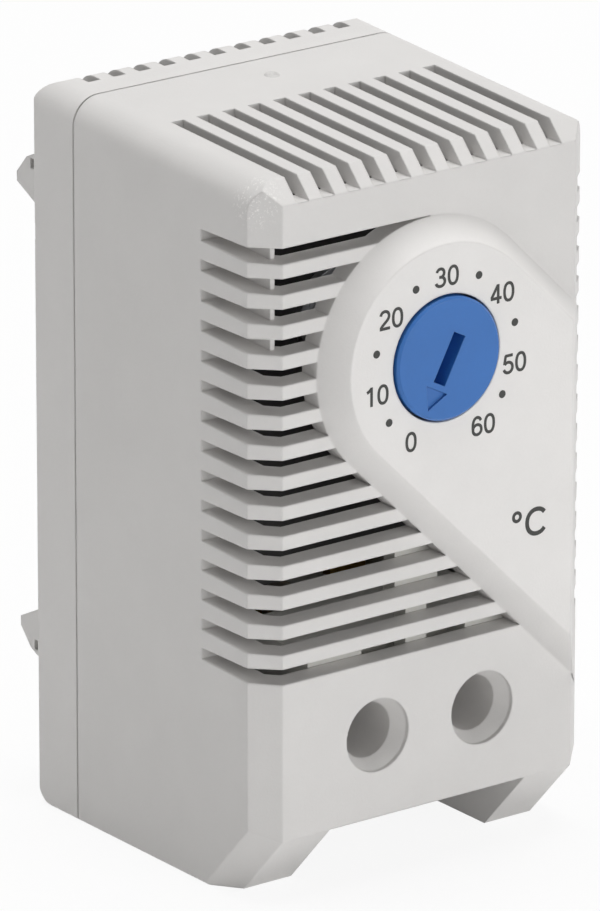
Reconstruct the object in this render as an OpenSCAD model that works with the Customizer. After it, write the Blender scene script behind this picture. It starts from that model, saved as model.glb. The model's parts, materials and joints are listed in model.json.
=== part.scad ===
// DIN rail thermostat: a slim slotted housing with a setting dial, two screw
// terminals and a sprung rail clip. Millimetres. X is the width, the front
// faces -Y, +Z is up. The origin is the middle of the rail seat on the rear face.

/* [Housing] */
// Width across the side faces
body_w = 33; // [31:0.5:37]
// Depth from the slotted front face to the rear face
body_d = 31; // [30:0.5:35]
// Height of the top front edge above the feet
body_h = 60.4; // [59.4:0.2:64]
// Height of the rail's centre line above the feet
rail_h = 32; // [31:0.25:33]
// Fall of the top face towards the front, in degrees
top_tilt = 2.75; // [1.5:0.25:4]
// Thickness of the front and side walls
wall_t = 1.9; // [1.7:0.1:2.2]
// Thickness of the top wall
top_wall_t = 1.7; // [1.4:0.1:2]
// Depth of the rear base, from the seam to the rear face
base_d = 5.6; // [5.2:0.1:6]
// Gap at the seam between the cover and the base
seam_gap = 0.15; // [0.1:0.05:0.3]
// Width of the strips along the front's upright edges
strip_w = 2; // [1.6:0.1:2.3]
// Depth of the same strips on the side faces
strip_d = 2; // [1.6:0.1:2.3]
// Depth of the chamfer between the front and the top
top_chamfer_d = 1.67; // [1.3:0.1:2]
// Height of the same chamfer
top_chamfer_h = 1.72; // [1.4:0.1:2]
// Depth of the chamfer under the front of the feet
foot_chamfer_d = 5.2; // [4.5:0.1:6]
// Radius along the top's side edges
top_edge_r = 2.4; // [2:0.1:3]
// Radius along the feet's outer bottom edges
foot_edge_r = 0.4; // [0.3:0.1:0.8]
// Radius of the rear top edge
rear_top_r = 2; // [1.6:0.1:2.6]
// Radius of the rear bottom edge
rear_bottom_r = 2.3; // [1.8:0.1:2.6]
// Radius of the rear upright edges
rear_side_r = 0.4; // [0.3:0.1:1]

/* [Vents] */
// Spacing of the front and side slots
slot_pitch = 2.5; // [2.45:0.01:2.55]
// Height of each slot at the front face
slot_h = 1.35; // [1.2:0.01:1.4]
// Height of each side slot at its rear end
slot_rear_h = 0.95; // [0.85:0.01:1.1]
// Distance of the first slot below the top edge
slot_drop = 5.17; // [5.15:0.01:5.8]
// Height above the feet that the lowest slot keeps clear
slot_foot_h = 18.6; // [17.5:0.1:20]
// How far back the slots run on the side faces
side_slot_d = 8.1; // [6.5:0.1:9]
// Where the right side's slots begin behind the front face
right_slot_d = 0.9; // [0.7:0.1:1.3]
// Added thickness of the side walls where the slots are
slot_wall_t = 0.35; // [0.2:0.05:0.5]
// Spacing of the top slots
top_slot_pitch = 2.5; // [2.4:0.05:2.6]
// Width of each top slot
top_slot_w = 1.18; // [1:0.02:1.3]
// Distance that the top slots keep from the side faces
top_slot_margin = 3.7; // [3.4:0.1:4.6]
// How far back the top slots run
top_slot_d = 16.7; // [14:0.1:18]
// Length of the short slots over the rear top edge
rear_slot_d = 3; // [2.8:0.1:3.2]
// How far the rear slots reach down the rear face
rear_slot_h = 3.6; // [3:0.1:4.2]

/* [Panel] */
// Distance of the dial's axis below the top edge
dial_drop = 16.45; // [16.25:0.05:16.9]
// Height of the raised panel over the slotted face
panel_t = 2.15; // [2:0.05:2.3]
// Radius of the panel's rounded corner at its foot
panel_foot_r = 11.2; // [11:0.1:11.4]
// Radius of the same corner on the panel's face
panel_face_r = 9.45; // [9.2:0.05:9.7]
// Slope of the panel's straight edges, in degrees
panel_angle = 45; // [44:0.5:46]
// Width of the bevel between the panel's face and the right side face
panel_bevel_w = 3.75; // [3.5:0.05:4]

/* [Dial] */
// Radius of the dial knob
knob_r = 5.1; // [4.9:0.05:5.4]
// Gap round the knob
knob_gap = 0.2; // [0.15:0.05:0.3]
// Height of the knob's face over the panel
knob_proud = 0.4; // [0.3:0.05:0.6]
// Thickness of the knob
knob_t = 3.2; // [3:0.1:3.4]
// Bevel round the knob's face
knob_bevel = 0.2; // [0.1:0.05:0.4]
// Length of the knob's screwdriver slot
knob_slot_l = 4.3; // [3.6:0.1:4.6]
// Width of the knob's screwdriver slot
knob_slot_w = 1.25; // [1:0.05:1.4]
// Depth of the knob's screwdriver slot
knob_slot_t = 1.6; // [1.3:0.05:1.7]
// Direction of the slot and pointer at the lowest setting, in degrees
pointer_angle = -118; // [-122:1:-110]
// Distance of the pointer's base from the axis
pointer_in = 2.65; // [2.5:0.05:2.8]
// Distance of the pointer's tip from the axis
pointer_out = 4.45; // [4.2:0.05:4.6]
// Half width of the pointer's base
pointer_half = 1.14; // [1:0.02:1.2]
// Depth of the pointer's engraving
pointer_t = 0.25; // [0.15:0.05:0.4]
// Radius of the dial's spindle
spindle_r = 2; // [1.9:0.05:2.1]
// Pitch of the setting thread
setting_pitch = 0.8; // [0.7:0.05:0.8]

/* [Terminals] */
// Distance of each terminal from the pair's middle
term_x = 5.25; // [5.1:0.05:5.5]
// Distance of the pair's own middle to the right of the housing's
term_shift = 0.2; // [0:0.05:0.3]
// Height of the terminal screws above the feet
term_h = 12.6; // [12.4:0.05:12.9]
// Radius of the access hole's mouth
access_mouth_r = 3.09; // [2.9:0.01:3.2]
// Depth of the straight lip round the mouth
access_lip_d = 0.35; // [0.2:0.05:0.5]
// Depth at which the mouth's cone ends
access_cone_d = 1.55; // [1.2:0.05:1.6]
// Radius of the screwdriver's hole
access_r = 2.35; // [2.25:0.05:2.45]
// Outer radius of the access tubes behind the front wall
access_tube_r = 3.05; // [2.9:0.05:3.1]
// Radius of the terminal screw's head
screw_head_r = 2.2; // [2:0.05:2.3]
// Radius of the terminal screw's shank
screw_shank_r = 1.5; // [1.4:0.05:1.6]
// Travel of the clamp cages
cage_travel = 2.5; // [2:0.1:2.5]
// Radius of the wire holes under the terminals
wire_r = 1.5; // [1.3:0.05:1.6]
// Half width of the cable recess between the feet
recess_half = 9.8; // [9.2:0.1:10.2]
// Height of the cable recess
recess_h = 5.6; // [5.2:0.1:5.8]

/* [Rail clip] */
// Height of the rail across its flanges
rail_w = 35; // [35:1:35]
// Slot behind the hooks for the rail's flange
flange_slot = 1.15; // [1.1:0.05:1.3]
// Clearance above and below the rail's edges
rail_gap = 0.3; // [0.2:0.05:0.5]
// Overlap of each hook's nose behind the rail
hook_bite = 1; // [0.8:0.05:1.1]
// Reach of the hooks behind the rear face
hook_reach = 7.35; // [7:0.05:7.6]
// Width of each hook
hook_w = 4; // [3:0.1:5]
// Distance of the hooks from the side faces
hook_inset = 3.6; // [3.4:0.1:4]
// Travel of the sprung lower hooks
latch_travel = 1.5; // [1.3:0.1:1.6]

/* [Hidden] */
$fn = 64;

// Overrun of every cut past the face it leaves
over = 0.5;
// Clearance between pieces that slide on each other
slide_gap = 0.3;
// Clearance round pieces that seat in a hole
seat_gap = 0.05;
// Clearance of a turning or screwed shaft in its bore
shaft_gap = 0.05;
// Steps in each rounded edge
arc_steps = 10;

// Main planes of the housing
front_y = -body_d;
panel_y = front_y - panel_t;
inner_y = front_y + wall_t;
seam_y = -base_d;
feet_z = -rail_h;
fold_y = front_y + top_chamfer_d;
fold_z = body_h - rail_h;
half_w = body_w / 2;
inner_half = half_w - wall_t;
recess_z = feet_z + recess_h;
dial_z = fold_z - dial_drop;
term_z = term_h - rail_h;
panel_turn_x = half_w - panel_bevel_w;
term_places = [term_shift - term_x, term_shift + term_x];
slot_top_z = fold_z - slot_drop;
slot_end_y = front_y + side_slot_d;
slot_roof_fall = 0.08;
slot_count = floor((slot_top_z - slot_h - feet_z - slot_foot_h) / slot_pitch) + 1;
top_slot_count = 2 * floor((half_w - top_slot_margin) / top_slot_pitch) + 1;

// Inside of the housing, narrower and cut across its front corners at the slots
slot_wall_run = 0.9;
slot_half = inner_half - slot_wall_t;
slot_wall_end_y = slot_end_y + slot_wall_run;
corner_cut = 0.95;
floor_t = 1.6;
floor_z = recess_z + floor_t;
foot_hollow_in = 1.6;
foot_hollow_front = 4.4;
base_wall_t = 2;
base_wall_y = -base_wall_t;
lower_zone_z = -15.5;
rib_t = 0.15;
wall_sink = 0.3;
rib_d = 7;
rib_drop = 14;
tongue_t = 1.2;
tongue_d = 4;
tongue_h = 6;
tongue_gap = 0.1;
tongue_drop = 13.4;
tongue_low_z = -9;
tongue_lows = [fold_z - tongue_drop, tongue_low_z];

// Dial knob, and the pocket and bore of the cover for it
knob_front_y = panel_y - knob_proud;
knob_rear_y = knob_front_y + knob_t;
knob_rear_gap = 0.3;
pocket_y = knob_rear_y + knob_rear_gap;
spindle_hole_gap = 0.6;

// Clamps of the bimetal strip and of the contact blade, which start above them
bracket_gap = 1.2;
clamp_lip = 0.6;
clamp_z = -3;
clamp_far = 3;
strip_t = 0.6;
strip_y = base_wall_y - bracket_gap - clamp_lip - strip_t;
strip_half = 2.5;
strip_rise = 12.25;
blade_t = 0.4;
blade_stand = 2.9;
blade_y = strip_y - blade_stand;
blade_half = 2.5;
blade_rise = 7.55;
contact_rise = 5.05;
contact_r = 1.2;
contact_t = 0.5;
armature_t = 0.5;
armature_h = 3.4;
touch_gap = 0.1;

// Setting plunger, whose nose pushes the contact blade
plunger_half = 2.5;
plunger_gap = 0.25;
plunger_grip = 4.33;
plunger_end_t = 0.5;
setting_turn = 302;
setting_travel = setting_pitch * setting_turn / 360;
plunger_body_l = plunger_grip + setting_travel;
nose_r = 1;
nose_l = 1.8;
plunger_rear_y = blade_y - touch_gap - nose_l;
plunger_front_y = plunger_rear_y - plunger_body_l;

// Carrier frame on four legs
frame_side_gap = 2.2;
frame_half = inner_half - frame_side_gap;
frame_low_z = -9.8;
frame_rise = 12.05;
frame_top_z = dial_z + frame_rise;
frame_t = 2;
plunger_stand = 2.5;
frame_rear_y = plunger_front_y - plunger_stand;
frame_front_y = frame_rear_y - frame_t;
leg_r = 1.8;
leg_x = frame_half - leg_r;
leg_rise = 9.65;
leg_low_z = -7;
sleeve_wall = 1.45;
sleeve_l = 6;
magnet_half = 3;
magnet_h = 3.5;
magnet_low_z = frame_top_z - magnet_h;
magnet_t = 3;
magnet_stand = 1.3;
magnet_front_y = strip_y - magnet_stand - magnet_t;
frame_screw_r = 1.7;
frame_screw_t = 0.9;
frame_shank_r = 1;
frame_shank_l = 7;
frame_slot_w = 0.5;
frame_slot_t = 0.45;
clamp_side_gap = 1.7;
clamp_reach = leg_x - leg_r - clamp_side_gap;

// Bush, washer and spindle
bush_r = 3.2;
bush_flange_r = 4.2;
bush_flange_t = 0.8;
bush_front_y = frame_front_y - bush_flange_t;
washer_in_r = 2.15;
washer_out_r = 3.6;
washer_t = 0.5;
washer_front_y = bush_front_y - washer_t;
collar_r = 3;
collar_t = 0.7;
run_gap = 0.1;
knob_web = 0.3;
knob_bore_y = knob_front_y + knob_slot_t + knob_web;
spindle_front_y = knob_bore_y + run_gap;
spindle_end_gap = 0.5;
spindle_rear_y = plunger_rear_y - plunger_end_t - spindle_end_gap;
thread_r = 1.6;
ring_r = 2.5;
ring_t = 0.6;
ring_gap = 0.02;

// Clamp cages, at the open end of their travel
block_rear_gap = 0.4;
block_rear_wall = 1.3;
block_rear_y = seam_y - block_rear_gap;
chamber_half = 3.5;
chamber_rear_y = block_rear_y - block_rear_wall;
cage_half = 3.2;
cage_wall = 1.2;
cage_side = 1;
cage_l = 8.8;
cage_h = 5;
cage_front_y = chamber_rear_y - slide_gap - cage_l;
chamber_front_y = cage_front_y - cage_travel - slide_gap;

// Contact bars and terminal screws
bar_half = 1.8;
bar_t = 1;
bar_tab = 0.5;
bar_stand = 3.4;
bar_y = cage_front_y + bar_stand;
bar_low_z = -22.6;
bar_run_z = -9;
wire_stand = 1.6;
wire_y = bar_y + bar_t + wire_stand;
wire_cone_r = 2.2;
wire_cone_h = 0.6;
web_t = 0.8;
web_y = chamber_front_y - web_t;
screw_head_l = 2.3;
screw_front_y = web_y - run_gap - screw_head_l;
screw_tip_y = bar_y - run_gap;
driver_slot_w = 0.7;
driver_slot_t = 1;

// Terminal block, with a notched front and a post behind the slots
block_wall = 1.6;
block_half = term_shift + term_x + chamber_half + block_wall;
block_gap = 0.1;
block_front_y = inner_y + block_gap;
block_top_z = -12;
block_high_z = bar_run_z - bar_t;
block_step = 0.8;
block_step_y = bar_y - block_step;
head_gap = 0.4;
head_room_y = screw_front_y - head_gap;
head_room_r = 2.6;
tube_end_y = head_room_y - slide_gap;
notch_half = 5.2;
notch_low_z = -14.6;
notch_d = 2.3;
post_x = 0.25;
post_half = 1.05;
post_t = 1.5;
head_half = 2.15;
head_low_z = -8.8;
head_top_z = -4.2;
arm_l = 6.55;
arm_end_z = -7.45;
arm_low_z = -7.2;
arm_h = 0.8;
arm_t = 1;

// Rail clip
hook_out = half_w - hook_inset;
hook_in = hook_out - hook_w;
slot_root_z = rail_w / 2 + rail_gap;
nose_z = rail_w / 2 - hook_bite;
bite_l = 2.4;
bite_end_y = flange_slot + bite_l;
relief_gap = 0.15;
relief_z = nose_z - relief_gap;
relief_t = 0.3;
tip_z = 18.77;
tip_t = 0.8;
lead_y = 4.7;
lead_z = 17.45;
shoulder_y = 5.95;
shoulder_z = 21.15;
shoulder_end_y = 5.2;
shoulder_top_z = 21.5;
hook_root_z = 23.5;
hook_sink = 1;
dimple_y = 4.95;
dimple_w = 0.45;
dimple_z = 20.3;
dimple_h = 0.85;
dimple_t = 0.8;
pocket_floor_y = -2.9;
pocket_half = hook_out + slide_gap;
groove_d = 0.75;
groove_half = pocket_half + groove_d;
groove_top_y = -1.3;
pocket_top_z = -rail_w / 2;
latch_rear_y = -slide_gap;
latch_front_y = pocket_floor_y + slide_gap;
latch_low_z = -27.5;
latch_stop_gap = 0.4;
pocket_low_z = latch_low_z - latch_travel - latch_stop_gap;
latch_window_half = 3;
latch_window_low_z = -26.8;
latch_window_h = 1.4;
spring_x = 7;
spring_r = 0.8;
spring_low_z = -27.2;
spring_bed_half = 1.2;
spring_bed_y = -4.7;
spring_bed_top_z = -20.5;
lug_half = 0.9;
lug_top_z = -20.8;
lug_h = 1.1;
release_half = 4;
release_y = -3.4;

// Height of the top face, and of the ceiling under it, at a depth
function top_z(y) = fold_z + (y - fold_y) * tan(top_tilt);
function ceiling_z(y) = top_z(y) - top_wall_t / cos(top_tilt);

// Points along an arc from one angle to another
function arc(cx, cy, r, from, to) =
    [for (i = [0 : arc_steps]) let (a = from + (to - from) * i / arc_steps)
        [cx + r * cos(a), cy + r * sin(a)]];

// Extrusions of an outline along each axis, and a box between two corners
module along_x(x0, x1) translate([x0, 0, 0]) rotate([90, 0, 90]) linear_extrude(x1 - x0) children();
module along_y(y0, y1) translate([0, y1, 0]) rotate([90, 0, 0]) linear_extrude(y1 - y0) children();
module along_z(z0, z1) translate([0, 0, z0]) linear_extrude(z1 - z0) children();
module box(x0, x1, y0, y1, z0, z1) translate([x0, y0, z0]) cube([x1 - x0, y1 - y0, z1 - z0]);
module rod_y(x, z, r, y0, y1) translate([x, y0, z]) rotate([-90, 0, 0]) cylinder(r = r, h = y1 - y0);
module both_sides() {
    children();
    mirror([1, 0, 0]) children();
}

// Housing seen from the side: chamfered front, tilted top, rounded rear
module side_outline() {
    top_arc_z = top_z(-rear_top_r) - rear_top_r / cos(top_tilt);
    polygon(concat(
        [[front_y, recess_z], [front_y, fold_z - top_chamfer_h], [fold_y, fold_z]],
        arc(-rear_top_r, top_arc_z, rear_top_r, 90 + top_tilt, 0),
        arc(-rear_bottom_r, feet_z + rear_bottom_r, rear_bottom_r, 0, -90),
        [[front_y + foot_chamfer_d, feet_z]]));
}

// Housing seen from above: strips on the front edges, rounded rear edges
module plan_outline() {
    r = rear_side_r;
    polygon(concat(
        [[-half_w, front_y + strip_d], [-half_w + strip_w, front_y]],
        [[half_w - strip_w, front_y], [half_w, front_y + strip_d]],
        arc(half_w - r, -r, r, 0, 90),
        arc(-half_w + r, -r, r, 90, 180)));
}

// Waste outside a rounded right edge whose corner is at the origin
module edge_waste(r) {
    polygon(concat(arc(-r, -r, r, 90, 0), [[over, -r], [over, over], [-r, over]]));
}

// Waste outside the strip that follows the chamfer under each foot
module foot_strip_waste() {
    grow = over * strip_w / strip_d;
    polygon([[-strip_w - grow, -over], [over, -over], [over, strip_d + over / grow * over]]);
}

// The housing's outer form with its side edges shaped
module shell() {
    foot_angle = atan2(recess_h, foot_chamfer_d);
    difference() {
        intersection() {
            along_x(-half_w - over, half_w + over) side_outline();
            along_z(feet_z - over, body_h) plan_outline();
        }
        both_sides() {
            translate([half_w, fold_y, fold_z]) rotate([top_tilt, 0, 0])
                along_y(-body_d, body_d + body_d) edge_waste(top_edge_r);
            translate([half_w, 0, feet_z]) mirror([0, 0, 1])
                along_y(front_y - over, over) edge_waste(foot_edge_r);
            translate([half_w, front_y, recess_z]) rotate([-foot_angle, 0, 0])
                along_y(-body_d, body_d) foot_strip_waste();
        }
    }
}

// Half section of the panel, from its axis outwards
panel_half_section = [[0, front_y + strip_d], [panel_foot_r, front_y + strip_d],
    [panel_foot_r, front_y], [panel_face_r, panel_y], [0, panel_y]];

// Rounded corner and straight run of the panel, and of the outline of its foot
module panel_run(section) {
    translate([0, 0, dial_z]) {
        rotate([90, 0, 0]) rotate_extrude() polygon([for (p = section) [p.x, -p.y]]);
        rotate([0, panel_angle, 0]) along_x(0, body_h)
            polygon(concat([for (p = section) [p.y, p.x]],
                [for (i = [len(section) - 1 : -1 : 0]) [section[i].y, -section[i].x]]));
    }
}

// The raised panel, cut by the bevel that falls to the right side face
module panel() {
    run = half_w - panel_turn_x;
    fall = strip_d + panel_t;
    intersection() {
        panel_run(panel_half_section);
        along_z(feet_z, fold_z) polygon([[-half_w, panel_y - over],
            [panel_turn_x - over * run / fall, panel_y - over],
            [half_w, front_y + strip_d], [-half_w, front_y + strip_d]]);
    }
}

// Zone of the left and front slots, left of the panel's middle line
module left_slot_zone() {
    far = body_h;
    low = dial_z - far * sin(panel_angle);
    along_y(front_y - over, inner_y + over) polygon([[-far, fold_z], [0, fold_z], [0, dial_z],
        [far * cos(panel_angle), low], [-far, low]]);
    box(-far, -slot_half + over, inner_y, slot_end_y, low, fold_z);
}

// Slots round the front left edge and down the right side
module front_slots() {
    difference() {
        intersection() {
            left_slot_zone();
            slot_bands();
        }
        panel_run([[0, inner_y + body_d], [panel_foot_r, inner_y + body_d],
            [panel_foot_r, front_y - body_d], [0, front_y - body_d]]);
    }
    intersection() {
        box(slot_half - over, half_w + over, front_y + right_slot_d, slot_end_y, feet_z, fold_z);
        slot_bands();
    }
}

// Bands of the slots, whose roof and floor draw together towards the rear
module slot_bands() {
    for (k = [0 : slot_count - 1]) {
        roof = slot_top_z - k * slot_pitch;
        low = roof - slot_h;
        rear_roof = roof - slot_roof_fall;
        along_x(-half_w - over, half_w + over) polygon([[front_y - over, low], [front_y - over, roof],
            [front_y, roof], [slot_end_y, rear_roof], [slot_end_y, rear_roof - slot_rear_h],
            [front_y, low]]);
    }
}

// Places of the top and rear slots
module at_top_slots() {
    for (k = [0 : top_slot_count - 1]) {
        translate([(k - (top_slot_count - 1) / 2) * top_slot_pitch, 0, 0]) children();
    }
}

// One top slot, whose mouth ends at the foot of the front's chamfer
module top_slot() {
    low_z = fold_z - top_chamfer_h;
    deep_z = low_z - top_wall_t;
    along_x(-top_slot_w / 2, top_slot_w / 2) polygon([[front_y - over, low_z],
        [inner_y + over, low_z], [inner_y + over, deep_z], [front_y + top_slot_d, deep_z],
        [front_y + top_slot_d, fold_z + top_chamfer_h], [front_y - over, fold_z + top_chamfer_h]]);
}

// Inside of the front cover seen from above
module hollow_plan() {
    polygon([[-inner_half, seam_y], [-inner_half, slot_wall_end_y], [-slot_half, slot_wall_end_y],
        [-slot_half, inner_y + corner_cut], [corner_cut - slot_half, inner_y],
        [slot_half - corner_cut, inner_y], [slot_half, inner_y + corner_cut],
        [slot_half, slot_wall_end_y], [inner_half, slot_wall_end_y], [inner_half, seam_y]]);
}

// Inside of the front cover, and the hollows of its feet
module cover_hollow() {
    intersection() {
        along_x(-half_w, half_w) polygon([[inner_y, floor_z], [inner_y, ceiling_z(inner_y)],
            [seam_y, ceiling_z(seam_y)], [seam_y, floor_z]]);
        along_z(feet_z, body_h) hollow_plan();
    }
    both_sides() box(recess_half + foot_hollow_in, inner_half,
        front_y + foot_chamfer_d + foot_hollow_front - wall_t, seam_y,
        feet_z + wall_t, floor_z + over);
}

// Cuts for one terminal: access hole in front, wire hole underneath
module terminal_cuts(x) {
    translate([x, front_y, term_z]) rotate([-90, 0, 0]) rotate_extrude()
        polygon([[0, -over], [access_mouth_r, -over], [access_mouth_r, access_lip_d],
            [access_r, access_cone_d], [access_r, wall_t + over], [0, wall_t + over]]);
    translate([x, wire_y, recess_z - over]) cylinder(r = wire_r, h = floor_t + over + over);
    translate([x, wire_y, recess_z]) cylinder(r1 = wire_cone_r, r2 = wire_r, h = wire_cone_h);
}

// Tube that leads the screwdriver from the front wall into the terminal block
module access_tube(x) {
    difference() {
        rod_y(x, term_z, access_tube_r, inner_y - wall_sink, tube_end_y);
        rod_y(x, term_z, access_r, inner_y - over, tube_end_y + over);
    }
}

module front_cover() {
    color([0.88, 0.88, 0.87]) {
        difference() {
            union() {
                intersection() {
                    shell();
                    box(-body_w, body_w, panel_y, seam_y - seam_gap, feet_z - over, body_h);
                }
                panel();
            }
            cover_hollow();
            front_slots();
            at_top_slots() top_slot();
            box(-recess_half, recess_half, front_y - over, seam_y, feet_z - over, recess_z);
            rod_y(0, dial_z, knob_r + knob_gap, panel_y - over, pocket_y);
            rod_y(0, dial_z, spindle_r + spindle_hole_gap, panel_y, inner_y + over);
            for (x = term_places) terminal_cuts(x);
        }
        both_sides() box(-slot_half - wall_sink, -slot_half + rib_t, inner_y - wall_sink,
            inner_y + rib_d, fold_z - rib_drop, ceiling_z(inner_y) + wall_sink);
        for (x = term_places) access_tube(x);
    }
}

// Hook seen from the side, with its lead-in, nose and slot for the rail's flange
module hook_outline(root_y) {
    polygon([[root_y, slot_root_z], [flange_slot, slot_root_z], [flange_slot, nose_z],
        [bite_end_y, nose_z], [lead_y, lead_z], [hook_reach, tip_z], [hook_reach, tip_z + tip_t],
        [shoulder_y, shoulder_z], [shoulder_end_y, shoulder_top_z], [0, hook_root_z],
        [root_y, hook_root_z]]);
}

// One upper hook, with a dimple in its outer side
module hook(root_y) {
    difference() {
        along_x(hook_in, hook_out) hook_outline(root_y);
        box(hook_out - dimple_t, hook_out + over, dimple_y, dimple_y + dimple_w,
            dimple_z, dimple_z + dimple_h);
    }
}

// Inside of the rear base above the latch's housing
module base_hollow() {
    along_x(-inner_half, inner_half) polygon([[seam_y - over, lower_zone_z],
        [seam_y - over, ceiling_z(seam_y - over)], [base_wall_y, ceiling_z(base_wall_y)],
        [base_wall_y, lower_zone_z]]);
}

// Shallow reliefs under the hooks' noses, either side of the rail's seat
module seat_reliefs() {
    for (side = [0, 1]) {
        mirror([0, 0, side]) box(-body_w, body_w, -relief_t, over, relief_z, slot_root_z);
    }
}

// Pocket, side grooves, spring beds and release notch of the sliding latch
module latch_cuts() {
    box(-pocket_half, pocket_half, pocket_floor_y, over, pocket_low_z, pocket_top_z);
    box(-groove_half, groove_half, pocket_floor_y, groove_top_y, pocket_low_z, pocket_top_z);
    both_sides() box(spring_x - spring_bed_half, spring_x + spring_bed_half, spring_bed_y,
        pocket_floor_y + over, spring_low_z, spring_bed_top_z);
    box(-release_half, release_half, release_y, over, feet_z - over, pocket_low_z + over);
}

module rear_base() {
    color([0.84, 0.84, 0.83]) {
        difference() {
            intersection() {
                shell();
                box(-body_w, body_w, seam_y, over, feet_z - over, body_h);
            }
            base_hollow();
            latch_cuts();
            seat_reliefs();
            at_top_slots() box(-top_slot_w / 2, top_slot_w / 2, -rear_slot_d, over,
                top_z(0) - rear_slot_h, top_z(0) + over);
        }
        both_sides() {
            hook(-hook_sink);
            for (low = tongue_lows) {
                box(inner_half - tongue_gap - tongue_t, inner_half - tongue_gap,
                    seam_y - tongue_d, base_wall_y + over / 2, low, low + tongue_h);
                box(inner_half - tongue_gap - over, inner_half + over / 2,
                    seam_y + seam_gap, base_wall_y + over / 2, low, low + tongue_h);
            }
        }
    }
}

// Places of the carrier frame's four legs
module at_legs() {
    both_sides() {
        translate([leg_x, 0, dial_z + leg_rise]) children();
        translate([leg_x, 0, leg_low_z]) children();
    }
}

module carrier_frame() {
    sleeve_in = plunger_half + plunger_gap;
    sleeve_out = sleeve_in + sleeve_wall;
    color([0.12, 0.12, 0.13]) difference() {
        union() {
            box(-frame_half, frame_half, frame_front_y, frame_rear_y, frame_low_z, frame_top_z);
            at_legs() rod_y(0, 0, leg_r, frame_rear_y - over, base_wall_y);
            box(-sleeve_out, sleeve_out, frame_rear_y - over, frame_rear_y + sleeve_l,
                dial_z - sleeve_out, dial_z + sleeve_out);
            box(-magnet_half, magnet_half, frame_rear_y - over, magnet_front_y,
                magnet_low_z, frame_top_z);
        }
        rod_y(0, dial_z, bush_r + seat_gap, frame_front_y - over, frame_rear_y);
        box(-sleeve_in, sleeve_in, frame_rear_y, frame_rear_y + sleeve_l + over,
            dial_z - sleeve_in, dial_z + sleeve_in);
        at_legs() rod_y(0, 0, frame_shank_r + seat_gap, frame_front_y - over,
            frame_front_y + frame_shank_l + slide_gap);
    }
}

module frame_screws() {
    head_y = frame_front_y - frame_screw_t;
    color([0.7, 0.7, 0.7]) at_legs() difference() {
        union() {
            rod_y(0, 0, frame_screw_r, head_y, frame_front_y);
            rod_y(0, 0, frame_shank_r, head_y, frame_front_y + frame_shank_l);
        }
        box(-leg_r - over, leg_r + over, head_y - over, head_y + frame_slot_t,
            -frame_slot_w / 2, frame_slot_w / 2);
    }
}

// Post behind the front slots that steadies the cover
module block_post() {
    rear_y = block_front_y + post_t;
    translate([post_x, 0, 0]) {
        box(-post_half, post_half, block_front_y, rear_y, notch_low_z - over, head_low_z + over);
        box(-head_half, head_half, block_front_y, rear_y, head_low_z, head_top_z);
        along_y(block_front_y, block_front_y + arm_t) polygon([[-arm_l, arm_end_z], [0, arm_low_z],
            [0, arm_low_z + arm_h], [-arm_l, arm_end_z + arm_h]]);
    }
}

module terminal_block() {
    color([0.72, 0.72, 0.7]) {
        difference() {
            union() {
                box(-block_half, block_half, block_front_y, block_rear_y, floor_z, block_top_z);
                box(-block_half, block_half, block_step_y, block_rear_y, floor_z, block_high_z);
            }
            for (x = term_places) {
                box(x - chamber_half, x + chamber_half, chamber_front_y, chamber_rear_y,
                    floor_z - over, block_high_z + over);
                rod_y(x, term_z, access_tube_r + slide_gap, block_front_y - over, head_room_y);
                rod_y(x, term_z, head_room_r, head_room_y - over, web_y);
                rod_y(x, term_z, screw_shank_r + slide_gap, web_y - over, chamber_front_y + over);
            }
            box(-notch_half, notch_half, block_front_y - over, block_front_y + notch_d,
                notch_low_z, block_top_z + over);
        }
        block_post();
    }
}

// Contact bar: upright behind the screw's tip, then a run over the block's walls
module contact_bar(x, clamp_y, clamp_t) {
    run_half = chamber_half + bar_tab;
    front = min(bar_y, clamp_y - clamp_lip);
    rear = max(bar_y + bar_t, clamp_y + clamp_t + clamp_lip);
    box(x - bar_half, x + bar_half, bar_y, bar_y + bar_t, bar_low_z, bar_run_z);
    box(x - run_half, x + run_half, front, rear, block_high_z, bar_run_z);
}

module contact_bar_left() {
    color([0.8, 0.66, 0.35]) contact_bar(term_places[0], strip_y, strip_t);
}

module contact_bar_right() {
    color([0.8, 0.66, 0.35]) contact_bar(term_places[1], blade_y, blade_t);
}

module spindle_bush() {
    color([0.8, 0.66, 0.35]) difference() {
        union() {
            rod_y(0, dial_z, bush_flange_r, bush_front_y, frame_front_y);
            rod_y(0, dial_z, bush_r, bush_front_y, frame_rear_y);
        }
        rod_y(0, dial_z, spindle_r + shaft_gap, bush_front_y - over, frame_rear_y + over);
    }
}

module friction_washer() {
    color([0.7, 0.7, 0.7]) difference() {
        rod_y(0, dial_z, washer_out_r, washer_front_y, bush_front_y);
        rod_y(0, dial_z, washer_in_r, washer_front_y - over, bush_front_y + over);
    }
}

module bimetal_bracket() {
    color([0.75, 0.72, 0.62]) box(-clamp_reach, clamp_far, strip_y - clamp_lip,
        strip_y + strip_t + clamp_lip, bar_run_z, clamp_z);
}

module contact_bracket() {
    color([0.75, 0.72, 0.62]) box(-clamp_far, clamp_reach, blade_y - clamp_lip,
        blade_y + blade_t + clamp_lip, bar_run_z, clamp_z);
}

module magnet() {
    color([0.25, 0.25, 0.26]) box(-magnet_half, magnet_half, magnet_front_y,
        magnet_front_y + magnet_t, magnet_low_z, frame_top_z);
}

// Knob's section from its axis to its rim
module knob_section() {
    face = knob_t;
    polygon([[0, 0], [knob_r, 0], [knob_r, face - knob_bevel], [knob_r - knob_bevel, face], [0, face]]);
}

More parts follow.
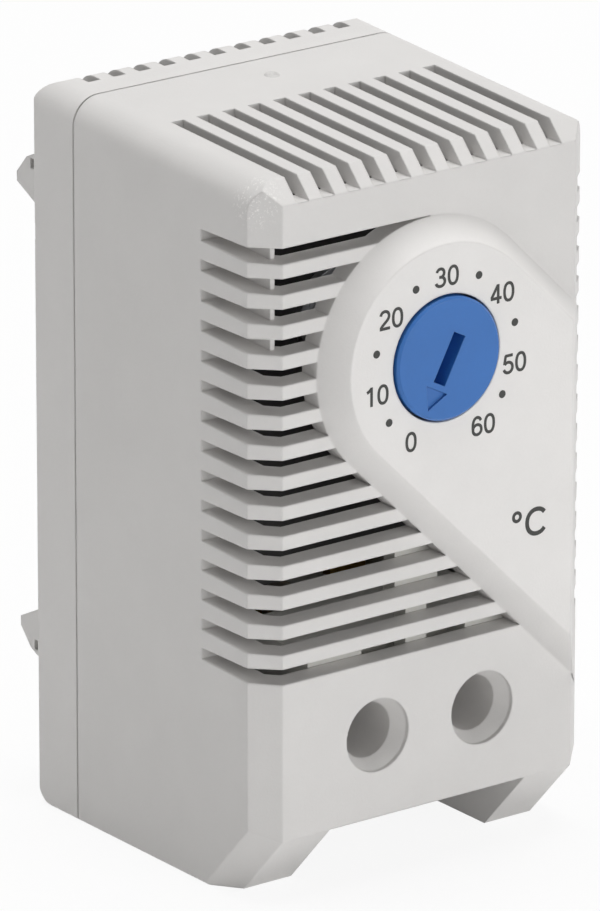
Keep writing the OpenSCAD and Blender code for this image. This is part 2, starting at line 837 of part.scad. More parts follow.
module dial_knob() {
    color([0.28, 0.47, 0.73]) difference() {
        translate([0, knob_rear_y, dial_z]) rotate([90, 0, 0]) rotate_extrude() knob_section();
        translate([0, knob_front_y, dial_z]) rotate([0, -pointer_angle, 0]) {
            box(-knob_slot_l / 2, knob_slot_l / 2, -over, knob_slot_t, -knob_slot_w / 2, knob_slot_w / 2);
            along_y(-over, pointer_t) polygon([[pointer_in, -pointer_half],
                [pointer_in, pointer_half], [pointer_out, 0]]);
        }
        rod_y(0, dial_z, spindle_r + ring_gap, knob_bore_y, knob_rear_y + over);
    }
}

module dial_spindle() {
    ring_front_y = frame_rear_y + run_gap;
    collar_rear_y = washer_front_y - run_gap;
    color([0.62, 0.6, 0.55]) {
        rod_y(0, dial_z, spindle_r, spindle_front_y, ring_front_y);
        rod_y(0, dial_z, collar_r, collar_rear_y - collar_t, collar_rear_y);
        rod_y(0, dial_z, thread_r, spindle_front_y, spindle_rear_y);
    }
}

module retaining_ring() {
    ring_front_y = frame_rear_y + run_gap;
    color([0.35, 0.35, 0.36]) difference() {
        rod_y(0, dial_z, ring_r, ring_front_y, ring_front_y + ring_t);
        rod_y(0, dial_z, thread_r + ring_gap, ring_front_y - over, ring_front_y + ring_t + over);
    }
}

module setting_plunger() {
    color([0.8, 0.66, 0.35]) difference() {
        union() {
            box(-plunger_half, plunger_half, plunger_front_y, plunger_rear_y,
                dial_z - plunger_half, dial_z + plunger_half);
            rod_y(0, dial_z, nose_r, plunger_rear_y - over, plunger_rear_y + nose_l);
        }
        rod_y(0, dial_z, thread_r + shaft_gap, plunger_front_y - over, plunger_rear_y - plunger_end_t);
    }
}

module bimetal_strip() {
    color([0.72, 0.66, 0.55]) box(-strip_half, strip_half, strip_y, strip_y + strip_t,
        clamp_z + touch_gap, dial_z + strip_rise);
}

module moving_contact() {
    color([0.85, 0.85, 0.87]) rod_y(0, dial_z + contact_rise, contact_r,
        strip_y - contact_t, strip_y);
}

module armature() {
    color([0.5, 0.5, 0.52]) box(-strip_half, strip_half, strip_y - armature_t, strip_y,
        dial_z + strip_rise - armature_h, dial_z + strip_rise);
}

module contact_blade() {
    color([0.8, 0.6, 0.42]) box(-blade_half, blade_half, blade_y, blade_y + blade_t,
        clamp_z + touch_gap, dial_z + blade_rise);
}

module fixed_contact() {
    color([0.85, 0.85, 0.87]) rod_y(0, dial_z + contact_rise, contact_r,
        blade_y + blade_t, blade_y + blade_t + contact_t);
}

module terminal_screw(x) {
    color([0.72, 0.72, 0.74]) difference() {
        union() {
            rod_y(x, term_z, screw_head_r, screw_front_y, screw_front_y + screw_head_l);
            rod_y(x, term_z, screw_shank_r, screw_front_y, screw_tip_y);
        }
        box(x - screw_head_r - over, x + screw_head_r + over, screw_front_y - over,
            screw_front_y + driver_slot_t, term_z - driver_slot_w / 2, term_z + driver_slot_w / 2);
    }
}

module terminal_screw_left() terminal_screw(term_places[0]);
module terminal_screw_right() terminal_screw(term_places[1]);

// Clamp cage at its open end: a threaded front wall and a window for the wire
module clamp_cage(x) {
    rear_y = cage_front_y + cage_l;
    color([0.8, 0.66, 0.35]) difference() {
        box(x - cage_half, x + cage_half, cage_front_y, rear_y, term_z - cage_h / 2, term_z + cage_h / 2);
        box(x - cage_half + cage_side, x + cage_half - cage_side, cage_front_y + cage_wall,
            rear_y - cage_wall, term_z - cage_h, term_z + cage_h);
        rod_y(x, term_z, screw_shank_r + shaft_gap, cage_front_y - over, cage_front_y + cage_wall + over);
    }
}

module clamp_cage_left() clamp_cage(term_places[0]);
module clamp_cage_right() clamp_cage(term_places[1]);

module rail_latch() {
    tongue_half = groove_half - slide_gap;
    color([0.84, 0.84, 0.83]) {
        difference() {
            union() {
                box(-hook_out, hook_out, latch_front_y, latch_rear_y, latch_low_z, -slot_root_z);
                box(-tongue_half, tongue_half, latch_front_y, groove_top_y - slide_gap,
                    latch_low_z, -slot_root_z);
            }
            box(-latch_window_half, latch_window_half, latch_front_y - over, latch_rear_y + over,
                latch_window_low_z, latch_window_low_z + latch_window_h);
        }
        both_sides() {
            mirror([0, 0, 1]) hook(latch_rear_y - hook_sink);
            box(spring_x - lug_half, spring_x + lug_half, spring_bed_y + slide_gap,
                latch_front_y + over, lug_top_z - lug_h, lug_top_z);
        }
    }
}

module latch_spring(x) {
    y = (spring_bed_y + pocket_floor_y) / 2;
    color([0.6, 0.6, 0.62]) translate([x, y, spring_low_z])
        cylinder(r = spring_r, h = lug_top_z - lug_h - spring_low_z);
}

module latch_spring_left() latch_spring(-spring_x);
module latch_spring_right() latch_spring(spring_x);

front_cover();
rear_base();
carrier_frame();
frame_screws();
terminal_block();
contact_bar_left();
contact_bar_right();
spindle_bush();
friction_washer();
bimetal_bracket();
contact_bracket();
magnet();
dial_knob();
dial_spindle();
retaining_ring();
setting_plunger();
bimetal_strip();
moving_contact();
armature();
contact_blade();
fixed_contact();
terminal_screw_left();
terminal_screw_right();
clamp_cage_left();
clamp_cage_right();
rail_latch();
latch_spring_left();
latch_spring_right();
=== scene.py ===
import bpy
import json
import math
from mathutils import Matrix, Vector


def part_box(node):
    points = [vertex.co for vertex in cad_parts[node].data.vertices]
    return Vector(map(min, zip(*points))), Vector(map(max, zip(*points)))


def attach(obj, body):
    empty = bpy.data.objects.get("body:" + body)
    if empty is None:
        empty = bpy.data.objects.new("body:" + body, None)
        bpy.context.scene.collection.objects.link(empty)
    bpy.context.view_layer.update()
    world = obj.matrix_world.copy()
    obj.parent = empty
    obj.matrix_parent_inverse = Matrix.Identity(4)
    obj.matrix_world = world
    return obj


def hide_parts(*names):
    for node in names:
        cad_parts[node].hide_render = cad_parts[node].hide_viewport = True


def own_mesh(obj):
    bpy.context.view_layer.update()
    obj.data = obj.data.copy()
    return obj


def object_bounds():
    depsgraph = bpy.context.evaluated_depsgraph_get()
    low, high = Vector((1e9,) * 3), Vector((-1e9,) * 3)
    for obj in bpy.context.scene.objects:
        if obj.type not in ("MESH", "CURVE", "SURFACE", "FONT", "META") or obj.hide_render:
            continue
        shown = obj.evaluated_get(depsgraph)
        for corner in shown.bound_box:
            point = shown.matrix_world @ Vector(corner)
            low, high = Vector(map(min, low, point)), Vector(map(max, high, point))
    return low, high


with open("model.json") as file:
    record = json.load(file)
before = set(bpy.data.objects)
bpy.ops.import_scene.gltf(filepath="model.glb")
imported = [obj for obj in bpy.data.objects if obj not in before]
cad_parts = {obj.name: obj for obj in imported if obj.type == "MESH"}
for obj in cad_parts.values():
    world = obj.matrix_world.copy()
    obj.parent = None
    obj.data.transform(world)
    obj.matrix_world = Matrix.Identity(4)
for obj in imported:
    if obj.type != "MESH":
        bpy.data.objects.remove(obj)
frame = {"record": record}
cad_box = [list(v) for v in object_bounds()]
scene = bpy.context.scene
MM = 0.001
SLOT_OF = {s["node"]: s["material_slot"] for s in frame["record"]["subparts"]}

# Plain colour management, so that a colour renders as it is written
scene.view_settings.view_transform = "Standard"

# Places on the object, in millimetres
PANEL_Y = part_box("front_cover")[0][1] / MM
DIAL_LOW, DIAL_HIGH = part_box("dial_knob")
DIAL_Z = (DIAL_LOW[2] + DIAL_HIGH[2]) / 2 / MM

# Camera: a long lens, from the front left and above, in millimetres, with its clipping in metres
AZIMUTH = math.radians(36.63)
ELEVATION = math.radians(19.1714)
ROLL = math.radians(0.0354)
AIM = Vector((0.0, -12.0, -2.0))
DISTANCE = 808.5417
SHIFT_RIGHT = 1.0647
SHIFT_DOWN = 0.1107
SENSOR = 36.0
LENS = 394.489
NEAREST, FARTHEST = 0.01, 20.0


def make_camera():
    back = Vector((-math.sin(AZIMUTH) * math.cos(ELEVATION),
                   -math.cos(AZIMUTH) * math.cos(ELEVATION),
                   math.sin(ELEVATION)))
    level = Vector((0, 0, 1)).cross(back).normalized()
    upright = back.cross(level)
    right = level * math.cos(ROLL) + upright * math.sin(ROLL)
    up = upright * math.cos(ROLL) - level * math.sin(ROLL)
    place = AIM + back * DISTANCE + right * SHIFT_RIGHT - up * SHIFT_DOWN
    data = bpy.data.cameras.new("camera")
    data.sensor_width = SENSOR
    data.lens = LENS
    data.clip_start = NEAREST
    data.clip_end = FARTHEST
    camera = bpy.data.objects.new("camera", data)
    scene.collection.objects.link(camera)
    camera.matrix_world = Matrix((
        (right.x, up.x, back.x, place.x * MM),
        (right.y, up.y, back.y, place.y * MM),
        (right.z, up.z, back.z, place.z * MM),
        (0, 0, 0, 1)))
    scene.camera = camera


# Node helpers
class Tree:
    """A node tree, emptied first."""

    def __init__(self, tree):
        self.tree = tree
        self.tree.nodes.clear()

    def add(self, kind, *feeds, **values):
        """Adds a node. Its inputs take the feeds in turn. A value goes to the setting of its name,
        or else to the input of that name."""
        node = self.tree.nodes.new(kind)
        for name, value in values.items():
            if hasattr(node, name):
                setattr(node, name, value)
            else:
                self.feed(node.inputs[name.replace("_", " ")], value)
        for socket, value in zip(node.inputs, feeds):
            self.feed(socket, value)
        return node

    def feed(self, socket, value):
        """Links another node's output, or sets a plain value."""
        if isinstance(value, bpy.types.NodeSocket):
            self.tree.links.new(value, socket)
        else:
            socket.default_value = value


def new_material(name):
    material = bpy.data.materials.new(name)
    material.use_nodes = True
    return material, Tree(material.node_tree)


def seen_by_eye(tree):
    """1 for camera, glossy and transmission rays, else 0."""
    path = tree.add("ShaderNodeLightPath").outputs
    direct = tree.add("ShaderNodeMath", path["Is Camera Ray"], path["Is Glossy Ray"], operation="MAXIMUM")
    either = tree.add("ShaderNodeMath", direct.outputs[0], path["Is Transmission Ray"], operation="MAXIMUM")
    return either.outputs[0]


# World: faint light, and white where it is seen
WHITE = (1, 1, 1, 1)
WORLD_FILL = 0.046


def make_world():
    world = bpy.data.worlds.new("studio")
    scene.world = world
    world.use_nodes = True
    tree = Tree(world.node_tree)
    fill = tree.add("ShaderNodeBackground", Color=WHITE, Strength=WORLD_FILL)
    white = tree.add("ShaderNodeBackground", Color=WHITE, Strength=1.0)
    mix = tree.add("ShaderNodeMixShader", seen_by_eye(tree), fill.outputs[0], white.outputs[0])
    tree.add("ShaderNodeOutputWorld", mix.outputs[0])


# Floor: pale, nearly white to the eye, keeps the object's shadow, and its half side is in metres
FLOOR_COLOUR = (0.93, 0.93, 0.93, 1)
FLOOR_WHITE = 0.9
FLOOR_HALF = 3.0


def make_floor():
    material, tree = new_material("floor")
    plain = tree.add("ShaderNodeBsdfDiffuse", Color=FLOOR_COLOUR)
    white = tree.add("ShaderNodeEmission", Color=WHITE, Strength=1.0)
    share = tree.add("ShaderNodeMath", seen_by_eye(tree), FLOOR_WHITE, operation="MULTIPLY")
    mix = tree.add("ShaderNodeMixShader", share.outputs[0], plain.outputs[0], white.outputs[0])
    tree.add("ShaderNodeOutputMaterial", mix.outputs[0])
    corners = ((-1, -1), (1, -1), (1, 1), (-1, 1))
    verts = [(x * FLOOR_HALF, y * FLOOR_HALF, cad_box[0][2]) for x, y in corners]
    mesh = bpy.data.meshes.new("floor")
    mesh.from_pydata(verts, [], [(0, 1, 2, 3)])
    mesh.materials.append(material)
    floor = bpy.data.objects.new("floor", mesh)
    scene.collection.objects.link(floor)


# Soft square lamps: name, place and side in metres, and power in watts
LAMP_AIM = Vector((0.0, -0.015, 0.0))
LAMPS = (
    ("key", (-0.7, 0.5, 0.95), 0.5, 2.1),
    ("top", (0.1, 0.1, 1.2), 0.9, 12.9),
    ("front", (-0.15, -1.1, 0.15), 0.6, 3.2),
    ("frontright", (0.5, -1.0, 0.12), 0.6, 4.5),
    ("left", (-1.05, -0.3, 0.1), 0.6, 1.0),
)


def make_lamp(name, place, side, power):
    data = bpy.data.lights.new(name, "AREA")
    data.shape = "SQUARE"
    data.size = side
    data.energy = power
    lamp = bpy.data.objects.new(name, data)
    scene.collection.objects.link(lamp)
    lamp.location = place
    lamp.rotation_euler = (LAMP_AIM - Vector(place)).to_track_quat("-Z", "Y").to_euler()


# Colour helpers
SRGB_TOP = 255.0
SRGB_KNEE = 0.04045
SRGB_FOOT_SLOPE = 12.92
SRGB_OFFSET = 0.055
SRGB_POWER = 2.4


def linear(level):
    """One channel of a screen colour as light."""
    share = level / SRGB_TOP
    if share <= SRGB_KNEE:
        return share / SRGB_FOOT_SLOPE
    return ((share + SRGB_OFFSET) / (1 + SRGB_OFFSET)) ** SRGB_POWER


def srgb(red, green, blue):
    return (linear(red), linear(green), linear(blue), 1.0)


def scaled(colour, factor):
    """The colour, lighter or darker, and never over full strength."""
    return tuple(min(1.0, channel * factor) for channel in colour[:3]) + (1.0,)


def per_metre(size):
    """A texture's scale for marks of this size in millimetres."""
    return 1000.0 / size


def two_tone(tree, pattern, low, high):
    """A colour between two others, each with the pattern's level where it is reached."""
    ramp = tree.add("ShaderNodeValToRGB", pattern)
    for element, (level, colour) in zip(ramp.color_ramp.elements, (low, high)):
        element.position = level
        element.color = colour
    return ramp.outputs[0]


def uneven_gloss(tree, pattern, rough, less, more):
    """A roughness that goes with the pattern, a little less and more than rough."""
    gloss = tree.add("ShaderNodeMapRange", pattern, To_Min=rough - less, To_Max=rough + more)
    return gloss.outputs[0]


# Cover, with painted light: how far behind the panel's face it is painted lighter, and bright specks of
# painted sheen round one corner
PAINTED_LIGHT_FROM, PAINTED_LIGHT_TO = 2.0, 0.2
PANEL_PAINTED_LIGHT = 1.15
SHEEN_SPECKS_PLACE = (-15.2, -28.8, 26.5)
SHEEN_SPECKS_RADIUS = 2.4
SHEEN_SPECKS_CORE = 0.5
SPECK_SCALE = 3800.0
SPECK_LOW, SPECK_HIGH = 0.55, 0.68
SPECK_PAINTED_SHEEN = 0.36


def cover_painted_light(tree, place, colour):
    """The colour with painted light: lighter towards the panel's face, and bright specks of painted sheen
    that thin out round one corner.
    """
    depth = tree.add("ShaderNodeSeparateXYZ", place)
    # Painted light: the panel's slope and face are painted lighter, standing in for their sheen
    painted_light_ahead = tree.add("ShaderNodeMapRange", depth.outputs["Y"],
                     From_Min=(PANEL_Y + PAINTED_LIGHT_FROM) * MM, From_Max=(PANEL_Y + PAINTED_LIGHT_TO) * MM,
                     To_Min=1.0, To_Max=PANEL_PAINTED_LIGHT)
    # Painted sheen: bright specks round one corner stand in for its glints
    sheen_specks_at = [c * MM for c in SHEEN_SPECKS_PLACE]
    away = tree.add("ShaderNodeVectorMath", place, sheen_specks_at, operation="DISTANCE")
    near_sheen = tree.add("ShaderNodeMapRange", away.outputs["Value"],
                    From_Min=SHEEN_SPECKS_RADIUS * MM, From_Max=SHEEN_SPECKS_RADIUS * SHEEN_SPECKS_CORE * MM)
    dots = tree.add("ShaderNodeTexNoise", Vector=place, Scale=SPECK_SCALE, Detail=2.0, Roughness=0.7)
    sheen_peak = tree.add("ShaderNodeMapRange", dots.outputs["Fac"],
                    From_Min=SPECK_LOW, From_Max=SPECK_HIGH, To_Max=SPECK_PAINTED_SHEEN)
    # The painted light and the painted sheen both scale the colour here
    factor = tree.add("ShaderNodeMath", near_sheen.outputs[0], sheen_peak.outputs[0], painted_light_ahead.outputs[0],
                      operation="MULTIPLY_ADD")
    lighter = tree.add("ShaderNodeVectorMath", colour, operation="SCALE", Scale=factor.outputs[0])
    return lighter.outputs[0]


# Plastic: its marks as multiples of the grain, and the broad drift of colour in millimetres
DRIFT = 6.0
SPECKLE_GRAINS = 3.0
PIT_GRAINS = 2.2
GRIT_GRAINS = 2.0
SPECKLE_SHARE = 0.35
PIT_SHARE = 0.4


def plastic(name, colour, rough, grain=0.1, bump=0.01, edge=0.12, spread=0.02, over=None):
    """Moulded plastic: fine eroded grain, slight colour drift, softened edges.
    grain, bump and edge are in millimetres, and over is a function that changes the colour by place."""
    material, tree = new_material(name)
    place = tree.add("ShaderNodeTexCoord").outputs["Object"]
    # Colour: broad drift and fine speckle
    drift = tree.add("ShaderNodeTexNoise", Vector=place, Scale=per_metre(DRIFT), Detail=3.0, Roughness=0.55)
    speckle = tree.add("ShaderNodeTexNoise", Vector=place, Scale=per_metre(grain * SPECKLE_GRAINS),
                       Detail=2.0, Roughness=0.6)
    both = tree.add("ShaderNodeMath", speckle.outputs["Fac"], SPECKLE_SHARE, drift.outputs["Fac"],
                    operation="MULTIPLY_ADD")
    shade = two_tone(tree, both.outputs[0], low=(0.45, scaled(colour, 1 - spread)),
                     high=(0.9, scaled(colour, 1 + spread)))
    if over:
        shade = over(tree, place, shade)
    # Eroded grain over softened edges
    soft = tree.add("ShaderNodeBevel", Radius=edge * MM, samples=6)
    pits = tree.add("ShaderNodeTexVoronoi", Vector=place, Scale=per_metre(grain * PIT_GRAINS))
    grit = tree.add("ShaderNodeTexNoise", Vector=place, Scale=per_metre(grain * GRIT_GRAINS),
                    Detail=2.0, Roughness=0.6)
    height = tree.add("ShaderNodeMath", pits.outputs["Distance"], PIT_SHARE, grit.outputs["Fac"],
                      operation="MULTIPLY_ADD")
    rise = tree.add("ShaderNodeBump", Strength=0.6, Distance=bump * MM, Height=height.outputs[0],
                    Normal=soft.outputs[0])
    gloss = uneven_gloss(tree, speckle.outputs["Fac"], rough, less=0.06, more=0.08)
    shader = tree.add("ShaderNodeBsdfPrincipled", Base_Color=shade, Normal=rise.outputs[0], Roughness=gloss)
    tree.add("ShaderNodeOutputMaterial", shader.outputs[0])
    return material


# Metal: its softened edge and the marks' height in millimetres, and the tarnish per metre
METAL_EDGE = 0.08
METAL_BUMP = 0.004
TARNISH_SCALE = 450.0


def metal(name, colour, rough, tarnish, streak=(1, 1, 1), mark=0.4):
    """Turned, rolled or plated metal with fine marks along its working direction.
    mark is their size in millimetres."""
    material, tree = new_material(name)
    place = tree.add("ShaderNodeTexCoord").outputs["Object"]
    drawn = tree.add("ShaderNodeMapping", Vector=place, Scale=streak)
    marks = tree.add("ShaderNodeTexNoise", Vector=drawn.outputs[0], Scale=per_metre(mark),
                     Detail=4.0, Roughness=0.6)
    cloud = tree.add("ShaderNodeTexNoise", Vector=place, Scale=TARNISH_SCALE, Detail=3.0, Roughness=0.5)
    shade = two_tone(tree, cloud.outputs["Fac"], low=(0.35, tarnish), high=(0.62, colour))
    soft = tree.add("ShaderNodeBevel", Radius=METAL_EDGE * MM, samples=4)
    rise = tree.add("ShaderNodeBump", Strength=0.5, Distance=METAL_BUMP * MM, Height=marks.outputs["Fac"],
                    Normal=soft.outputs[0])
    gloss = uneven_gloss(tree, marks.outputs["Fac"], rough, less=0.1, more=0.12)
    shader = tree.add("ShaderNodeBsdfPrincipled", Metallic=1.0, Base_Color=shade, Normal=rise.outputs[0],
                      Roughness=gloss)
    tree.add("ShaderNodeOutputMaterial", shader.outputs[0])
    return material


# Materials by their slot in the record
def make_materials():
    return {
        # The cover's plastic is painted lighter on the panel and has painted sheen specks at one corner
        "grey_plastic": plastic("grey_plastic", srgb(215, 213, 211), 0.5, grain=0.09, bump=0.014,
                                edge=0.25, over=cover_painted_light),
        "base_plastic": plastic("base_plastic", srgb(217, 215, 213), 0.48, grain=0.11, bump=0.014,
                                edge=0.25),
        "blue_plastic": plastic("blue_plastic", srgb(46, 107, 180), 0.36, grain=0.12, bump=0.005,
                                spread=0.04),
        "block_plastic": plastic("block_plastic", srgb(196, 195, 190), 0.55),
        "black_plastic": plastic("black_plastic", srgb(56, 55, 54), 0.45, spread=0.15),
        "ferrite": plastic("ferrite", srgb(58, 58, 60), 0.6, grain=0.12, bump=0.03, edge=0.1, spread=0.2),
        "brass": metal("brass", srgb(226, 192, 120), 0.34, srgb(196, 158, 92), streak=(0.15, 1, 1)),
        "steel": metal("steel", srgb(202, 203, 206), 0.32, srgb(168, 169, 170), streak=(1, 1, 0.15)),
        "bimetal": metal("bimetal", srgb(206, 196, 176), 0.38, srgb(176, 166, 146), streak=(1, 1, 0.08)),
        "silver": metal("silver", srgb(226, 226, 228), 0.22, srgb(196, 192, 182), mark=0.25),
    }


# Smooth shading for the carried-over solids, sharp at their real edges
WELD = 2e-6
SHARP_ANGLE = math.radians(22)


def make_smoothing():
    group = bpy.data.node_groups.new("smooth_faces", "GeometryNodeTree")
    group.interface.new_socket("Geometry", in_out="INPUT", socket_type="NodeSocketGeometry")
    group.interface.new_socket("Geometry", in_out="OUTPUT", socket_type="NodeSocketGeometry")
    tree = Tree(group)
    solid = tree.add("NodeGroupInput").outputs[0]
    weld = tree.add("GeometryNodeMergeByDistance", Geometry=solid, Distance=WELD)
    smooth = tree.add("GeometryNodeSetShadeSmooth", domain="FACE", Geometry=weld.outputs["Geometry"],
                      Shade_Smooth=True)
    angle = tree.add("GeometryNodeInputMeshEdgeAngle").outputs["Unsigned Angle"]
    edges = tree.add("FunctionNodeCompare", angle, SHARP_ANGLE, data_type="FLOAT", operation="GREATER_THAN")
    sharp = tree.add("GeometryNodeSetShadeSmooth", domain="EDGE", Geometry=smooth.outputs["Geometry"],
                     Selection=edges.outputs["Result"], Shade_Smooth=False)
    tree.add("NodeGroupOutput", sharp.outputs["Geometry"])
    return group


def dress(node, material, smoothing):
    """Gives a CAD node its material and smooth shading."""
    solid = bpy.data.objects[node]
    if not solid.material_slots:
        solid.data.materials.append(material)
    for slot in solid.material_slots:
        slot.material = material
    modifier = solid.modifiers.new("smooth_faces", "NODES")
    modifier.node_group = smoothing


# Mesh building
def mesh_object(name, verts, faces, material, body, smooth=False):
    mesh = bpy.data.meshes.new(name)
    mesh.from_pydata([tuple(c * MM for c in v) for v in verts], [], faces)
    mesh.materials.append(material)
    mesh.update()
    for face in mesh.polygons:
        face.use_smooth = smooth
    o = bpy.data.objects.new(name, mesh)
    scene.collection.objects.link(o)
    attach(o, body)
    return o


def circle(count):
    """Directions round a circle."""
    angles = [2 * math.pi * k / count for k in range(count)]
    return [(math.cos(a), math.sin(a)) for a in angles]


def wrap(faces, rings, count):
    """Faces between rings of points that follow each other in the list."""
    for i in range(rings - 1):
        for k in range(count):
            a, b = i * count + k, i * count + (k + 1) % count
            faces.append((a, b, b + count, a + count))


# Ink: its height over the panel, how deep it is sunk, and how much each stroke tops the last
INK = 0.02
SUNK = 0.01
LAYER = 0.0006

# Strokes: the least cosine that a mitre is drawn with, and the length under which a step is none
MITRE_LEAST = 0.4
TINY = 1e-9


def direction(start, end):
    return Vector((end[0] - start[0], end[1] - start[1]))


def edge_points(before, here, after, width):
    """The two edges of a stroke at one of its points."""
    coming, going = direction(before, here), direction(here, after)
    if coming.length < TINY:
        coming = going.copy()
    if going.length < TINY:
        going = coming.copy()
    coming.normalize()
    going.normalize()
    first = Vector((-coming.y, coming.x))
    middle = (first + Vector((-going.y, going.x))).normalized()
    reach = width / 2 / max(MITRE_LEAST, middle.dot(first))
    return [(here[0] + middle.x * s, here[1] + middle.y * s) for s in (reach, -reach)]


def add_stroke(verts, faces, stroke, width, centre, rise=0.0):
    """A raised band of ink on the panel's face."""
    path, closed = stroke
    count = len(path)
    last = count - 1
    base = len(verts)
    for i in range(count):
        if closed:
            before, after = path[i - 1], path[(i + 1) % count]
        else:
            before, after = path[max(0, i - 1)], path[min(last, i + 1)]
        for x, z in edge_points(before, path[i], after, width):
            verts.append((centre[0] + x, PANEL_Y - INK - rise, centre[1] + z))
            verts.append((centre[0] + x, PANEL_Y + SUNK, centre[1] + z))
    for i in range(count if closed else last):
        a, b = base + 4 * i, base + 4 * ((i + 1) % count)
        faces.append((a, b, b + 2, a + 2))
        faces.append((b + 1, b, a, a + 1))
        faces.append((b + 2, b + 3, a + 3, a + 2))
    if not closed:
        for a in (base, base + 4 * last):
            faces.append((a, a + 1, a + 3, a + 2))


def on_oval(centre, radii, degrees, power):
    """A point on an ellipse, or on a squarer oval where the power is over 2."""
    angle = math.radians(degrees)
    bend = 2.0 / power
    parts = (math.cos(angle), math.sin(angle))
    return tuple(c + r * math.copysign(abs(p) ** bend, p) for c, r, p in zip(centre, radii, parts))


def oval(centre, radii, power, count):
    """A closed stroke round an oval."""
    return [on_oval(centre, radii, 360 * i / count, power) for i in range(count)], True


def arc(centre, radii, start, end, power, steps, then=()):
    """An open stroke along part of an oval, and on through more points."""
    turn = (end - start) / steps
    return [on_oval(centre, radii, start + turn * i, power) for i in range(steps + 1)] + list(then), False


def line(*points):
    """An open stroke through these points."""
    return list(points), False


# Digits as strokes, drawn about 1.7 high from the foot of the figure, and their size on the panel
DRAWN = 1.70
HIGH = 1.61
PEN = 0.25
ADVANCE = 1.25
DIGITS = {
    "0": (oval((0, 0.85), (0.45, 0.76), 2.3, 40),),
    "1": (line((0.13, 0.0), (0.13, 1.70)),
          line((0.13, 1.62), (0.02, 1.49), (-0.14, 1.37), (-0.34, 1.27))),
    "2": (arc((0.0, 1.18), (0.43, 0.42), 172, -8, 2.1, 16,
              then=((0.38, 0.98), (0.26, 0.8), (0.0, 0.58), (-0.26, 0.36), (-0.42, 0.16))),
          line((-0.52, 0.1), (0.54, 0.1))),
    "3": (arc((-0.02, 1.24), (0.38, 0.37), 168, -80, 2.1, 18),
          line((-0.14, 0.89), (0.06, 0.89)),
          arc((-0.02, 0.49), (0.46, 0.40), 84, -168, 2.1, 20)),
    "4": (line((0.2, 0.0), (0.2, 1.70)),
          line((0.16, 1.62), (-0.5, 0.54)),
          line((-0.58, 0.48), (0.56, 0.48))),
    "5": (line((-0.34, 1.6), (0.47, 1.6)),
          line((-0.27, 1.62), (-0.41, 0.84)),
          arc((-0.01, 0.55), (0.46, 0.46), 142, -164, 2.1, 22)),
    "6": (oval((0.02, 0.53), (0.44, 0.44), 2.1, 30),
          arc((0.02, 0.84), (0.46, 0.77), 34, 196, 2.2, 18)),
}


def add_number(verts, faces, word, centre):
    x = -ADVANCE * (len(word) - 1) / 2
    size = HIGH / DRAWN
    rise = 0.0
    for figure in word:
        for path, closed in DIGITS[figure]:
            placed = [(x + size * px, size * pz - HIGH / 2) for px, pz in path]
            add_stroke(verts, faces, (placed, closed), PEN, centre, rise)
            rise += LAYER
        x += ADVANCE


# Scale: places from the dial's axis, the numbers and a dot half way between each two
NUMBERS = (("30", 0.0, 6.78), ("40", 5.55, 4.32), ("50", 6.8, -1.76), ("60", 3.71, -6.33),
           ("20", -5.49, 4.34), ("10", -6.9, -1.78), ("0", -3.48, -6.31))
DOTS = ((3.19, 6.26), (6.81, 1.63), (5.6, -4.16), (-3.05, 6.26), (-6.91, 1.66), (-5.66, -4.27))
DOT_R = 0.33
DOT_SIDES = 24


def make_numbers(ink):
    verts, faces = [], []
    for word, x, z in NUMBERS:
        add_number(verts, faces, word, (x, DIAL_Z + z))
    mesh_object("scale_numbers", verts, faces, ink, "housing")


def make_dots(ink):
    verts, faces = [], []
    for x, z in DOTS:
        base = len(verts)
        for y in (PANEL_Y - INK, PANEL_Y + SUNK):
            verts += [(x + DOT_R * c, y, DIAL_Z + z + DOT_R * s) for c, s in circle(DOT_SIDES)]
        faces.append(tuple(base + k for k in range(DOT_SIDES)))
        for k in range(DOT_SIDES):
            a, b = base + k, base + (k + 1) % DOT_SIDES
            faces.append((a, a + DOT_SIDES, b + DOT_SIDES, b))
    mesh_object("scale_dots", verts, faces, ink, "housing")


# Unit sign, low on the panel: a small ring and a letter
RING_AT, RING_PEN = (7.18, -2.91), 0.28
LETTER_AT, LETTER_PEN = (9.18, -3.65), 0.37
RING = oval((0, 0), (0.355, 0.36), 2.0, 30)
LETTER = arc((0, 0), (0.97, 1.03), 38, 322, 2.15, 34)


def make_unit_sign(ink):
    verts, faces = [], []
    add_stroke(verts, faces, RING, RING_PEN, RING_AT)
    add_stroke(verts, faces, LETTER, LETTER_PEN, LETTER_AT)
    mesh_object("unit_sign", verts, faces, ink, "housing")


# Gate mark on the sloping top: rings of a radius and a height, from the rim to the hollow
GATE_X, GATE_Y, GATE_Z = 0.46, -9.38, 29.36
TOP_SLOPE = math.tan(math.radians(2.75))
GATE_RINGS = ((0.68, -0.02), (0.54, 0.13), (0.42, 0.13), (0.26, 0.01), (0.04, 0.0))
GATE_SIDES = 32


def make_gate_mark():
    # Painted shade: the gate mark is coloured darker than the cover, standing in for the shade on its sides
    moulded = plastic("gate_plastic_painted_shade", srgb(200, 198, 196), 0.5, grain=0.09, bump=0.014, edge=0.02)
    verts, faces = [], []
    for radius, height in GATE_RINGS:
        for c, s in circle(GATE_SIDES):
            dy = radius * s
            verts.append((GATE_X + radius * c, GATE_Y + dy, GATE_Z + dy * TOP_SLOPE + height))
    wrap(faces, len(GATE_RINGS), GATE_SIDES)
    faces.append(tuple(range(len(verts) - GATE_SIDES, len(verts))))
    mesh_object("gate_mark", verts, faces, moulded, "housing", smooth=True)


# Coil springs of the rail latch: each stands for a plain solid
WIRE_R = 0.13
TURNS = 7.0
CLOSED_TURNS = 1.0
COIL_STEPS = 260
WIRE_SIDES = 10


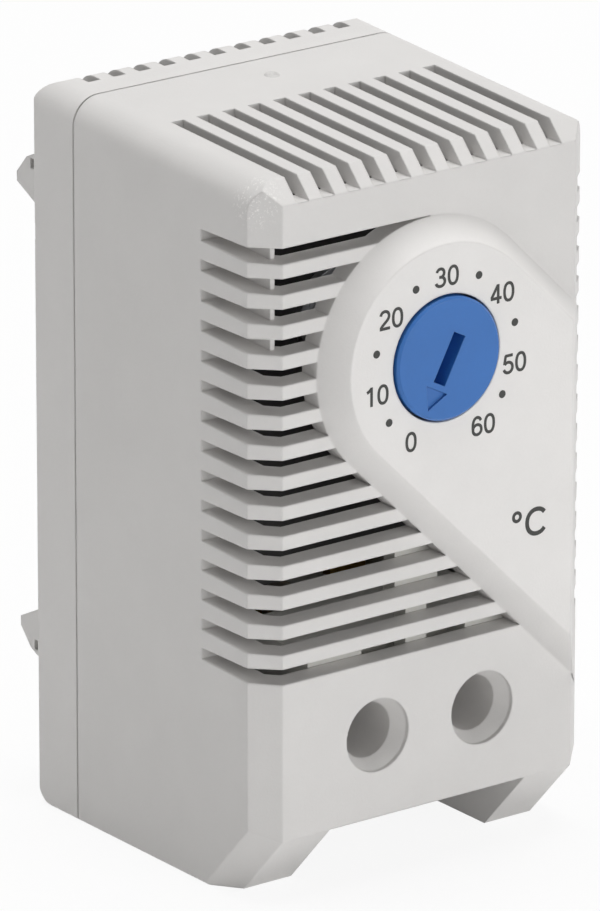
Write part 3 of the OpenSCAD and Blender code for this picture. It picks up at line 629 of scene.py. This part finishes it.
def coil_path(cx, cy, radius, low, length):
    """The wire's middle line, with closed turns at both ends."""
    pitch = 2 * WIRE_R
    closed = pitch * CLOSED_TURNS
    rise = length - pitch - 2 * closed
    path = []
    for i in range(COIL_STEPS + 1):
        turn = TURNS * i / COIL_STEPS
        if turn < CLOSED_TURNS:
            height = turn * pitch
        elif turn > TURNS - CLOSED_TURNS:
            height = length - pitch - (TURNS - turn) * pitch
        else:
            height = closed + rise * (turn - CLOSED_TURNS) / (TURNS - 2 * CLOSED_TURNS)
        angle = 2 * math.pi * turn
        path.append(Vector((cx + radius * math.cos(angle), cy + radius * math.sin(angle),
                            low + WIRE_R + height)))
    return path


def coil(name, node):
    lo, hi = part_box(node)
    cx, cy = (lo[0] + hi[0]) / 2 / MM, (lo[1] + hi[1]) / 2 / MM
    radius = (hi[0] - lo[0]) / 2 / MM - WIRE_R
    low, high = lo[2] / MM, hi[2] / MM
    path = coil_path(cx, cy, radius, low, high - low)
    verts, faces = [], []
    for i, point in enumerate(path):
        along = (path[min(i + 1, COIL_STEPS)] - path[max(i - 1, 0)]).normalized()
        outward = Vector((point.x - cx, point.y - cy, 0)).normalized()
        side = along.cross(outward).normalized()
        outward = side.cross(along)
        for c, s in circle(WIRE_SIDES):
            verts.append(tuple(point + outward * (WIRE_R * c) + side * (WIRE_R * s)))
    wrap(faces, len(path), WIRE_SIDES)
    faces.append(tuple(reversed(range(WIRE_SIDES))))
    faces.append(tuple(range(len(verts) - WIRE_SIDES, len(verts))))
    o = mesh_object(name, verts, faces, MATERIALS["steel"], "housing", smooth=True)
    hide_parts(node)
    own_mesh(o)


# Stage
make_camera()
make_world()
make_floor()
for lamp in LAMPS:
    make_lamp(*lamp)

# Carried-over solids
MATERIALS = make_materials()
SMOOTHING = make_smoothing()
for node, slot in SLOT_OF.items():
    dress(node, MATERIALS[slot], SMOOTHING)

# Pieces made here
INK_MATERIAL = plastic("printed_ink", srgb(46, 46, 43), 0.45, bump=0.003, edge=0.02, spread=0.06)
make_numbers(INK_MATERIAL)
make_dots(INK_MATERIAL)
make_unit_sign(INK_MATERIAL)
make_gate_mark()
coil("coil_left", "latch_spring_left")
coil("coil_right", "latch_spring_right")
